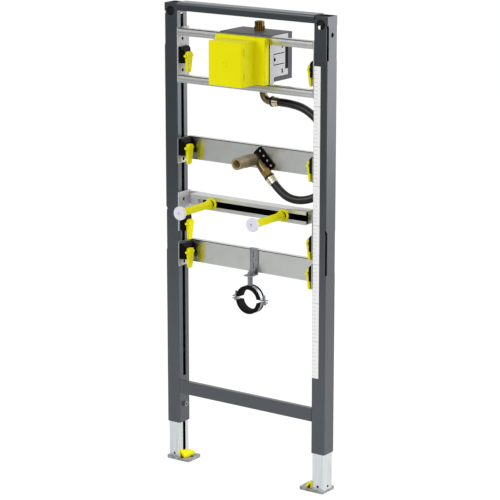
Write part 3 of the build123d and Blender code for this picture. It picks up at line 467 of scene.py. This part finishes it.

# Union nut: turned from brass bar, so it is brighter and more golden than the castings, with
# bright and dark bands across its axis, which runs down at 45 degrees. They are partly the marks
# of the lathe and partly painted highlights and painted shade. They are drawn 5 mm apart, where
# the real marks are under 0.2 mm.
turned_brass, tree, place = start_material("turned_bar_brass")
band_pitch = 0.005
wave_pitch = 0.314  # how far apart a wave texture's bands are at a scale of 1
along_axis = add_node(
    tree,
    "ShaderNodeMapping",
    {"Vector": place, "Rotation": (0.0, math.radians(45), 0.0)},
)
# The bands are partly lathe marks and partly painted highlights and painted shade.
lathe_marks_and_highlights = add_node(
    tree,
    "ShaderNodeTexWave",
    {"Vector": along_axis.outputs["Vector"], "Scale": wave_pitch / band_pitch, "Distortion": 0.6},
    wave_type="BANDS",
    bands_direction="Z",
)
tone = add_node(tree, "ShaderNodeValToRGB", {"Fac": lathe_marks_and_highlights.outputs["Fac"]})
tone.color_ramp.elements[0].position = 0.15
tone.color_ramp.elements[0].color = linear("#6A5222")
tone.color_ramp.elements[1].position = 0.75
tone.color_ramp.elements[1].color = linear("#CDB06A")
end_material(tree, {"Base Color": tone.outputs["Color"], "Metallic": 1.0, "Roughness": 0.28})
dress(turned_brass, "outlet_nut")

# Inlet stub: turned from older brass bar, browner than the nut, with a row of flutes milled up its
# side for grip. Each flute is painted darkest as painted shade, and each ridge lightest as a
# painted highlight.
stub_flutes = 14
stub_brass, tree, place = start_material("fluted_dark_brass")
stub_low, stub_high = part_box("inlet_stub")
stub_y = (stub_low[1] + stub_high[1]) / 2
round_stub = add_node(tree, "ShaderNodeMapping", {"Vector": place, "Location": (0.0, -stub_y, 0.0)})
spot = add_node(tree, "ShaderNodeSeparateXYZ", {"Vector": round_stub.outputs["Vector"]})
angle = add_node(
    tree,
    "ShaderNodeMath",
    {0: spot.outputs["Y"], 1: spot.outputs["X"]},
    operation="ARCTAN2",
)
turns = add_node(
    tree,
    "ShaderNodeMath",
    {0: angle.outputs["Value"], 1: stub_flutes},
    operation="MULTIPLY",
)
# Painted shade in the flutes and painted highlight on the ridges between them.
flute = add_node(tree, "ShaderNodeMath", {0: turns.outputs["Value"]}, operation="SINE")
height = add_node(tree, "ShaderNodeMapRange", {"Value": flute.outputs["Value"], "From Min": -1.0})
tone = add_node(tree, "ShaderNodeValToRGB", {"Fac": height.outputs["Result"]})
tone.color_ramp.elements[0].color = linear("#3E2F12")
tone.color_ramp.elements[1].color = linear("#8C7238")
end_material(tree, {"Base Color": tone.outputs["Color"], "Metallic": 1.0, "Roughness": 0.3})
dress(stub_brass, "inlet_stub")

# Stub collar: the fluted grip round the top of the inlet stub, of the same brass. It is a tube whose
# columns of points are set in by turns, where the flutes are.


def thicken(piece, wall):
    # Gives an open tube a wall inwards.
    thick = piece.modifiers.new("wall", "SOLIDIFY")
    thick.thickness = wall
    thick.offset = -1.0
    bpy.ops.object.modifier_apply(modifier="wall")


collar_radius, collar_height, collar_wall = 0.0124, 0.0096, 0.0014
below_top = 0.0006
points_per_flute = 8
flute_from, flute_share = -0.1, 0.94
bpy.ops.object.select_all(action="DESELECT")
bpy.context.tool_settings.mesh_select_mode = (True, False, False)
bpy.ops.mesh.primitive_cylinder_add(
    vertices=points_per_flute * stub_flutes,
    radius=collar_radius,
    depth=collar_height,
    end_fill_type="NOTHING",
)
collar = bpy.context.object
collar.name = "stub_collar"
bpy.ops.object.mode_set(mode="EDIT")
bpy.ops.mesh.select_all(action="DESELECT")
bpy.ops.object.mode_set(mode="OBJECT")
for vertex in collar.data.vertices:
    vertex.select = math.sin(stub_flutes * math.atan2(vertex.co.y, vertex.co.x)) < flute_from
bpy.ops.object.mode_set(mode="EDIT")
bpy.ops.transform.resize(value=(flute_share, flute_share, 1.0))
bpy.ops.object.mode_set(mode="OBJECT")
thicken(collar, collar_wall)
collar.location = (0.0, stub_y, stub_high[2] - below_top - collar_height / 2)
bpy.ops.object.transform_apply(location=True, rotation=True, scale=True)
bpy.ops.object.shade_smooth_by_angle(angle=math.radians(30))
collar.data.materials.append(stub_brass)
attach(collar, "frame")

# Ferrules: brass sleeves that are pressed on both ends of the hose.
# They have a thin bright nickel plate, a little warm and uneven, in patches 3 mm wide.
nickel, tree, place = start_material("nickel_plated_brass")
_, tone = mottle(
    tree, place, width=0.003, detail=2.0, dark="#BDB49A", light="#E6DFCB", spread=(0.3, 0.7)
)
end_material(tree, {"Base Color": tone, "Metallic": 1.0, "Roughness": 0.2})
dress(nickel, "upper_hose_ferrule", "lower_hose_ferrule")

# Flush hose: a reinforced rubber tube pressed into its two ferrules. It leaves the valve elbow
# straight, loops behind the right post and comes back up into the outlet. The rubber shines softly,
# and its skin is drawn 4 mm wide, coarser than it is.
rubber, tree, place = start_material("black_epdm_rubber")
skin, tone = mottle(tree, place, width=0.004, detail=3.0, dark="#050505", light="#0B0B0C")
bump = add_node(tree, "ShaderNodeBump", {"Height": skin, "Strength": 0.08, "Distance": 0.0004})
end_material(
    tree,
    {
        "Base Color": tone,
        "Roughness": 0.36,
        "IOR": 1.52,
        "Specular IOR Level": 0.34,
        "Normal": bump.outputs["Normal"],
    },
)
hose_radius = 0.0105
steps_per_run, steps_round = 16, 8
hose_route = (
    (0.062, 0.0465, 0.986),
    (0.113, 0.0465, 0.986),
    (0.162, 0.047, 0.966),
    (0.2, 0.047, 0.928),
    (0.22, 0.046, 0.879),
    (0.22, 0.045, 0.808),
    (0.203, 0.041, 0.774),
    (0.172, 0.03, 0.752),
    (0.135, 0.016, 0.746),
    (0.0984, 0.0095, 0.7576),
    (0.0716, 0.0095, 0.7844),
)
hose_curve = bpy.data.curves.new("flush_hose", "CURVE")
hose_curve.dimensions = "3D"
hose_curve.resolution_u = steps_per_run
hose_curve.bevel_depth = hose_radius
hose_curve.bevel_resolution = steps_round
hose_curve.use_fill_caps = True
hose_line = hose_curve.splines.new("NURBS")
hose_line.points.add(len(hose_route) - 1)
for point, spot in zip(hose_line.points, hose_route):
    point.co = (*spot, 1.0)
hose_line.order_u = 3
hose_line.use_endpoint_u = True
hose = bpy.data.objects.new("flush_hose", hose_curve)
bpy.context.scene.collection.objects.link(hose)
hose.data.materials.append(rubber)
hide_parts("hose")
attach(hose, "frame")

# Drain clamp lining: an extruded rubber profile, laid in the two shells. It is matt and dusty from
# talc, so it stays black where the hose shines. The dust lies in patches 3 mm wide.
lining, tree, place = start_material("matt_epdm_profile")
_, tone = mottle(tree, place, width=0.003, detail=3.0, dark="#060606", light="#121212")
end_material(tree, {"Base Color": tone, "Roughness": 0.7, "IOR": 1.52, "Specular IOR Level": 0.08})
dress(lining, "lower_drain_liner", "upper_drain_liner")

# Sealing rings: moulded rubber rings on the necks of both ferrules, pressed against the elbow
# above and the nut below.
smooth_below = math.radians(40)


def round_edges(piece, width):
    # Rounds the sharp edges of the active piece, and shades the shallow ones smooth.
    rounded = piece.modifiers.new("edge", "BEVEL")
    rounded.width = width
    rounded.segments = 2
    rounded.limit_method = "ANGLE"
    bpy.ops.object.modifier_apply(modifier="edge")
    bpy.ops.object.shade_smooth_by_angle(angle=smooth_below)


def model_ring(name, middle, turn, radius, wall, width, edge):
    # A turned ring: an open tube of its width that gets a wall inwards and rounded edges.
    bpy.ops.object.select_all(action="DESELECT")
    bpy.ops.mesh.primitive_cylinder_add(
        vertices=48,
        radius=radius,
        depth=width,
        end_fill_type="NOTHING",
        location=middle,
        rotation=turn,
    )
    ring = bpy.context.object
    ring.name = name
    bpy.ops.object.transform_apply(location=True, rotation=True, scale=True)
    thicken(ring, wall)
    round_edges(ring, edge)
    return ring


def copy_piece(piece, name, move):
    # A copy with a mesh of its own, moved there. A mirrored one has its faces turned out again.
    copy = piece.copy()
    copy.data = piece.data.copy()
    copy.name = name
    copy.data.transform(move)
    if move.determinant() < 0:
        copy.data.flip_normals()
    bpy.context.scene.collection.objects.link(copy)
    return copy


upper_neck = Vector((0.041, 0.0465, 0.986))
lower_neck = Vector((0.0567, 0.0095, 0.7993))
outlet_lean = Matrix.Rotation(math.radians(45), 4, "Y")
upper_ring = model_ring(
    "upper_sealing_ring",
    middle=upper_neck,
    turn=(0, math.radians(90), 0),
    radius=0.0138,
    wall=0.0055,
    width=0.0058,
    edge=0.0012,
)
lower_ring = copy_piece(
    upper_ring,
    "lower_sealing_ring",
    Matrix.Translation(lower_neck) @ outlet_lean @ Matrix.Translation(-upper_neck),
)
for ring in (upper_ring, lower_ring):
    ring.data.materials.append(rubber)
    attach(ring, "frame")

# Bolt groove rings: black rubber rings in the groove behind each sleeve's collar, put there as
# painted shade in the groove. The right one mirrors the left one.
mirror = Matrix.Scale(-1, 4, (1, 0, 0))
left_groove_shade = model_ring(
    "left_bolt_groove_shade",
    middle=(-0.1125, -0.0135, 0.7105),
    turn=(math.radians(90), 0, 0),
    radius=0.0098,
    wall=0.0032,
    width=0.0058,
    edge=0.0008,
)
right_groove_shade = copy_piece(left_groove_shade, "right_bolt_groove_shade", mirror)
for groove_shade in (left_groove_shade, right_groove_shade):
    groove_shade.data.materials.append(rubber)
    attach(groove_shade, "frame")

# Gate ring: a low ring on the cover's front, round the place where the plastic was let into the
# mould. It is moulded with the cover, in the same ABS.
cover_low, cover_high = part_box("valve_cover")
gate_middle_proud = 0.0002
gate_ring = model_ring(
    "cover_gate_ring",
    middle=(0.0, cover_low[1] - gate_middle_proud, 1.098),
    turn=(math.radians(90), 0, 0),
    radius=0.0075,
    wall=0.0016,
    width=0.0016,
    edge=0.0004,
)
gate_ring.data.materials.append(yellow_abs)
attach(gate_ring, "frame")

# Rims of the cover's base: a raised edge at both ends, moulded with the cover, which the wall
# lining is cut against.


def model_block(name, middle, size):
    bpy.ops.object.select_all(action="DESELECT")
    bpy.ops.mesh.primitive_cube_add(size=1.0, location=middle, scale=size)
    block = bpy.context.object
    block.name = name
    bpy.ops.object.transform_apply(location=True, rotation=True, scale=True)
    return block


rim_width, rim_rise, rim_edge = 0.005, 0.0014, 0.0006
base_front, base_below_top = -0.0385, 0.006
right_rim = model_block(
    "right_cover_rim",
    middle=(
        cover_high[0] - rim_width / 2,
        base_front - rim_rise / 2,
        (cover_low[2] + cover_high[2] - base_below_top) / 2,
    ),
    size=(rim_width, rim_rise, cover_high[2] - cover_low[2] - base_below_top),
)
round_edges(right_rim, rim_edge)
left_rim = copy_piece(right_rim, "left_cover_rim", mirror)
for rim in (right_rim, left_rim):
    rim.data.materials.append(yellow_abs)
    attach(rim, "frame")

# Slot plugs: snap-in plugs of moulded black nylon that close the small slots of the valve sides,
# two on each side, one above the other.


def dish_face(piece, facing, rim, depth):
    # Sets the face that looks along facing back by a depth, inside a rim.
    straight_on = 0.9
    bpy.context.tool_settings.mesh_select_mode = (False, False, True)
    bpy.ops.object.mode_set(mode="EDIT")
    bpy.ops.mesh.select_all(action="DESELECT")
    bpy.ops.object.mode_set(mode="OBJECT")
    for face in piece.data.polygons:
        face.select = face.normal.dot(facing) > straight_on
    bpy.ops.object.mode_set(mode="EDIT")
    bpy.ops.mesh.inset(thickness=rim)
    bpy.ops.transform.translate(value=-depth * facing)
    bpy.ops.object.mode_set(mode="OBJECT")


def model_plug(name, middle, size, facing, rim, depth, edge):
    # A moulded block with a dished face and rounded edges.
    plug = model_block(name, middle, size)
    dish_face(plug, facing, rim, depth)
    round_edges(plug, edge)
    return plug


rightwards = Vector((1, 0, 0))
side_face, plug_thickness, plug_proud = 0.076, 0.0016, 0.0008
plug_pitch = 0.063
low_plug = model_plug(
    "right_low_slot_plug",
    middle=(side_face + plug_proud - plug_thickness / 2, 0.037, 1.069),
    size=(plug_thickness, 0.0046, 0.0104),
    facing=rightwards,
    rim=0.0009,
    depth=0.0004,
    edge=0.0003,
)
high_plug = copy_piece(low_plug, "right_high_slot_plug", Matrix.Translation((0, 0, plug_pitch)))
left_low_plug = copy_piece(low_plug, "left_low_slot_plug", mirror)
left_high_plug = copy_piece(high_plug, "left_high_slot_plug", mirror)
for plug in (low_plug, high_plug, left_low_plug, left_high_plug):
    plug.data.materials.append(black_nylon)
    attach(plug, "frame")

# Post plugs: moulded nylon plugs that are pressed into the open tops of both posts and keep
# plaster out.
left_plug = model_plug(
    "left_post_plug",
    middle=(-0.23, 0.0, 1.219),
    size=(0.0356, 0.0406, 0.005),
    facing=Vector((0, 0, 1)),
    rim=0.003,
    depth=0.0016,
    edge=0.0008,
)
right_plug = copy_piece(left_plug, "right_post_plug", mirror)
for plug in (left_plug, right_plug):
    plug.data.materials.append(black_nylon)
    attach(plug, "frame")

# Window seals: strips of the same nylon that close the tall window at the back of each valve side.
# They are moulded with a dished face and pressed in.
right_seal = model_plug(
    "right_window_seal",
    middle=(0.0748, 0.0562, 1.1005),
    size=(0.0012, 0.0122, 0.0566),
    facing=rightwards,
    rim=0.0012,
    depth=0.0004,
    edge=0.0003,
)
left_seal = copy_piece(right_seal, "left_window_seal", mirror)
for seal in (right_seal, left_seal):
    seal.data.materials.append(black_nylon)
    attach(seal, "frame")

# Cover gap strips: strips of black plastic between the cover's ends and the valve sides, put there
# as painted shade in the gap. They are held between the two.
right_gap_shade = model_plug(
    "right_cover_gap_shade",
    middle=(0.0756, -0.02, 1.0903),
    size=(0.0028, 0.0028, 0.0975),
    facing=rightwards,
    rim=0.0008,
    depth=0.0003,
    edge=0.0003,
)
left_gap_shade = copy_piece(right_gap_shade, "left_cover_gap_shade", mirror)
for strip in (right_gap_shade, left_gap_shade):
    strip.data.materials.append(black_nylon)
    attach(strip, "frame")

# Hanger ribs: the long edges of the drain hanger are folded forward, which stiffens the strap.
# They have the same plate as the strap.
frontwards = Vector((0, -1, 0))
left_rib = model_plug(
    "left_hanger_rib",
    middle=(-0.0109, 0.0257, 0.5705),
    size=(0.003, 0.0036, 0.061),
    facing=frontwards,
    rim=0.0008,
    depth=0.0004,
    edge=0.0004,
)
right_rib = copy_piece(left_rib, "right_hanger_rib", mirror)
for rib in (left_rib, right_rib):
    rib.data.materials.append(plated_steel)
    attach(rib, "frame")

# Rail beads: a low round bead is rolled along the middle of each valve rail's face and stiffens it.
# On the upper rail the cover lies over its middle part.
rail_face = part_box("lower_valve_rail")[0][1]
bead_half, bead_rise = 0.0055, 0.0008
inner_end, outer_end = 0.079, 0.2055


def model_bead(name, rail, from_x, to_x):
    # A rod along X, pressed flat and cut off at the rail's face.
    rail_low, rail_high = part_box(rail)
    middle = ((from_x + to_x) / 2, rail_face, (rail_low[2] + rail_high[2]) / 2)
    bpy.ops.object.select_all(action="DESELECT")
    bpy.ops.mesh.primitive_cylinder_add(
        vertices=40,
        radius=bead_half,
        depth=to_x - from_x,
        location=middle,
        rotation=(0, math.radians(90), 0),
    )
    bead = bpy.context.object
    bead.name = name
    bpy.ops.object.transform_apply(location=False, rotation=True, scale=True)
    bead.scale = (1.0, bead_rise / bead_half, 1.0)
    bpy.ops.object.transform_apply(location=True, rotation=True, scale=True)
    bpy.ops.object.mode_set(mode="EDIT")
    bpy.ops.mesh.select_all(action="SELECT")
    bpy.ops.mesh.bisect(plane_co=middle, plane_no=(0, 1, 0), use_fill=True, clear_outer=True)
    bpy.ops.object.mode_set(mode="OBJECT")
    bpy.ops.object.shade_smooth_by_angle(angle=smooth_below)
    return bead


left_bead = model_bead("upper_left_rail_bead", "upper_valve_rail", -outer_end, -inner_end)
right_bead = copy_piece(left_bead, "upper_right_rail_bead", mirror)
lower_bead = model_bead("lower_rail_bead", "lower_valve_rail", -outer_end, outer_end)
for bead in (left_bead, right_bead, lower_bead):
    bead.data.materials.append(zinc_sheet)
    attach(bead, "frame")

# Bracket hole highlights: pale coated discs with dished heads, one in each hole of the row of the
# black outlet bracket, put there as a painted highlight of the lit zinc behind the holes. The first
# hole is wider and has a larger disc.
first_hole = Vector((0.01853, 0.0234, 0.86009))
hole_step = Vector((0.011314, 0.0, -0.011314))
large_radius, small_radius = 0.0053, 0.0029
head_height, head_dish = 0.002, 0.0005
hole_highlights = []
for number, radius in enumerate((large_radius, small_radius)):
    bpy.ops.object.select_all(action="DESELECT")
    bpy.ops.mesh.primitive_cylinder_add(
        vertices=24,
        radius=radius,
        depth=head_height,
        location=first_hole + number * hole_step,
        rotation=(math.radians(90), 0, 0),
    )
    hole_highlight = bpy.context.object
    hole_highlight.name = f"bracket_hole_highlight_{number}"
    bpy.ops.object.transform_apply(location=True, rotation=True, scale=True)
    dish_face(hole_highlight, frontwards, rim=radius / 3, depth=head_dish)
    bpy.ops.object.shade_smooth_by_angle(angle=smooth_below)
    hole_highlights.append(hole_highlight)
for number in (2, 3):
    shift = Matrix.Translation((number - 1) * hole_step)
    hole_highlights.append(copy_piece(hole_highlights[1], f"bracket_hole_highlight_{number}", shift))
for hole_highlight in hole_highlights:
    hole_highlight.data.materials.append(zinc_flake)
    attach(hole_highlight, "frame")

# Height scale: a printed paper strip stuck on the front of the right post, with a faint tick for
# each 10 mm and a line across for each 100 mm.
paper, tree, place = start_material("printed_paper_strip")
tick_pitch, tick_height = 0.01, 0.0009
line_pitch, line_height = 0.1, 0.0014
ticks_end_x = 0.223
spot = add_node(tree, "ShaderNodeSeparateXYZ", {"Vector": place})
prints = []
for pitch, print_height in ((tick_pitch, tick_height), (line_pitch, line_height)):
    step = add_node(
        tree,
        "ShaderNodeMath",
        {0: spot.outputs["Z"], 1: pitch},
        operation="FLOORED_MODULO",
    )
    printed = add_node(
        tree,
        "ShaderNodeMath",
        {0: step.outputs["Value"], 1: print_height},
        operation="LESS_THAN",
    )
    prints.append(printed.outputs["Value"])
tick_zone = add_node(
    tree,
    "ShaderNodeMath",
    {0: spot.outputs["X"], 1: ticks_end_x},
    operation="LESS_THAN",
)
short = add_node(
    tree,
    "ShaderNodeMath",
    {0: prints[0], 1: tick_zone.outputs["Value"]},
    operation="MULTIPLY",
)
ink = add_node(
    tree,
    "ShaderNodeMath",
    {0: short.outputs["Value"], 1: prints[1]},
    operation="MAXIMUM",
)
tone = add_node(
    tree,
    "ShaderNodeMix",
    {"Factor": ink.outputs["Value"], mix_from: linear("#EDEDED"), mix_to: linear("#B4B5B6")},
    data_type="RGBA",
)
end_material(tree, {"Base Color": tone.outputs[mixed], "Roughness": 0.6, "IOR": 1.46})
dress(paper, "height_scale")

# Studio floor: wide and pale, and darker far off. The camera sees the surround through it, so that
# no edge shows, and a faint shadow stays round the feet. Feet that are drawn out past the floor
# show through it too.
floor_size, floor_level = 60.0, -0.0005
see_through, glow = 0.85, 0.08
pale_within, dark_beyond = 1.2, 5.0
bpy.ops.object.select_all(action="DESELECT")
bpy.ops.mesh.primitive_plane_add(size=floor_size, location=(0, 0, floor_level))
floor = bpy.context.object
floor.name = "studio_floor"
floor_paint, tree, place = start_material("pale_floor")
ray = add_node(tree, "ShaderNodeLightPath")
seen = add_node(
    tree,
    "ShaderNodeMath",
    {0: ray.outputs["Is Camera Ray"], 1: see_through},
    operation="MULTIPLY",
)
reach = add_node(tree, "ShaderNodeVectorMath", {0: place}, operation="LENGTH")
far = add_node(
    tree,
    "ShaderNodeMapRange",
    {"Value": reach.outputs["Value"], "From Min": pale_within, "From Max": dark_beyond},
)
unseen = add_node(
    tree,
    "ShaderNodeMath",
    {0: 1.0, 1: ray.outputs["Is Camera Ray"]},
    operation="SUBTRACT",
)
shade = add_node(
    tree,
    "ShaderNodeMath",
    {0: far.outputs["Result"], 1: unseen.outputs["Value"]},
    operation="MULTIPLY",
)
pale = add_node(
    tree,
    "ShaderNodeMix",
    {"Factor": shade.outputs["Value"], mix_from: linear("#F2F2F2"), mix_to: linear("#646464")},
    data_type="RGBA",
)
matt = add_node(tree, "ShaderNodeBsdfDiffuse", {"Color": pale.outputs[mixed]})
clear = add_node(tree, "ShaderNodeBsdfTransparent")
mix = add_node(
    tree,
    "ShaderNodeMixShader",
    {0: seen.outputs["Value"], 1: matt.outputs["BSDF"], 2: clear.outputs["BSDF"]},
)
lift = add_node(
    tree,
    "ShaderNodeMath",
    {0: ray.outputs["Is Camera Ray"], 1: glow},
    operation="MULTIPLY",
)
white = add_node(
    tree,
    "ShaderNodeEmission",
    {"Color": linear("#FFFFFF"), "Strength": lift.outputs["Value"]},
)
both = add_node(tree, "ShaderNodeAddShader", {0: mix.outputs["Shader"], 1: white.outputs["Emission"]})
add_node(tree, "ShaderNodeOutputMaterial", {"Surface": both.outputs["Shader"]})
floor.data.materials.append(floor_paint)

# Surround and lamps: a white surround, dimmed where it only lights matt surfaces, and two soft lamps,
# one before the object and a wide one to its right and behind it.
world = bpy.data.worlds.new("white_surround")
bpy.context.scene.world = world
world.use_nodes = True
world.node_tree.nodes.clear()
tree = world.node_tree
ray = add_node(tree, "ShaderNodeLightPath")
direct = add_node(
    tree,
    "ShaderNodeMath",
    {0: ray.outputs["Is Camera Ray"], 1: ray.outputs["Is Glossy Ray"]},
    operation="MAXIMUM",
)
shown = add_node(
    tree,
    "ShaderNodeMath",
    {0: direct.outputs["Value"], 1: ray.outputs["Is Transmission Ray"]},
    operation="MAXIMUM",
)
dim = add_node(tree, "ShaderNodeBackground", {"Color": linear("#FFFFFF"), "Strength": 0.6})
white = add_node(tree, "ShaderNodeBackground", {"Color": linear("#FFFFFF"), "Strength": 1.0})
mix = add_node(
    tree,
    "ShaderNodeMixShader",
    {0: shown.outputs["Value"], 1: dim.outputs["Background"], 2: white.outputs["Background"]},
)
add_node(tree, "ShaderNodeOutputWorld", {"Surface": mix.outputs["Shader"]})


def add_lamp(name, place, aim, size, watts):
    data = bpy.data.lights.new(name, "AREA")
    data.shape = "RECTANGLE"
    data.size, data.size_y = size
    data.energy = watts
    lamp = bpy.data.objects.new(name, data)
    bpy.context.scene.collection.objects.link(lamp)
    lamp.location = place
    lamp.rotation_euler = (Vector(aim) - Vector(place)).to_track_quat("-Z", "Y").to_euler()
    lamp.visible_camera = False


add_lamp("front_softbox", place=(-0.6, -3.0, 2.6), aim=(0, 0, 0.6), size=(2.0, 2.0), watts=56)
add_lamp("side_panel", place=(2.9, 2.5, 1.9), aim=(0, 0, 0.9), size=(6.0, 4.4), watts=192)

# Camera: a long lens at the photograph's viewing angle, before the object, to its right and a
# little above it, with no shift.
azimuth = math.radians(35.37)
elevation = math.radians(13.75)
distance = 5.585
aim = Vector((0.0193, -0.0225, 0.6098))
away = Vector(
    (
        math.sin(azimuth) * math.cos(elevation),
        -math.cos(azimuth) * math.cos(elevation),
        math.sin(elevation),
    )
)
camera_data = bpy.data.cameras.new("photo_camera")
camera_data.sensor_width = 36.0
camera_data.lens = 157.7
camera = bpy.data.objects.new("photo_camera", camera_data)
bpy.context.scene.collection.objects.link(camera)
camera.location = aim + away * distance
camera.rotation_euler = (-away).to_track_quat("-Z", "Y").to_euler()
bpy.context.scene.camera = camera
bpy.context.scene.view_settings.view_transform = "Standard"
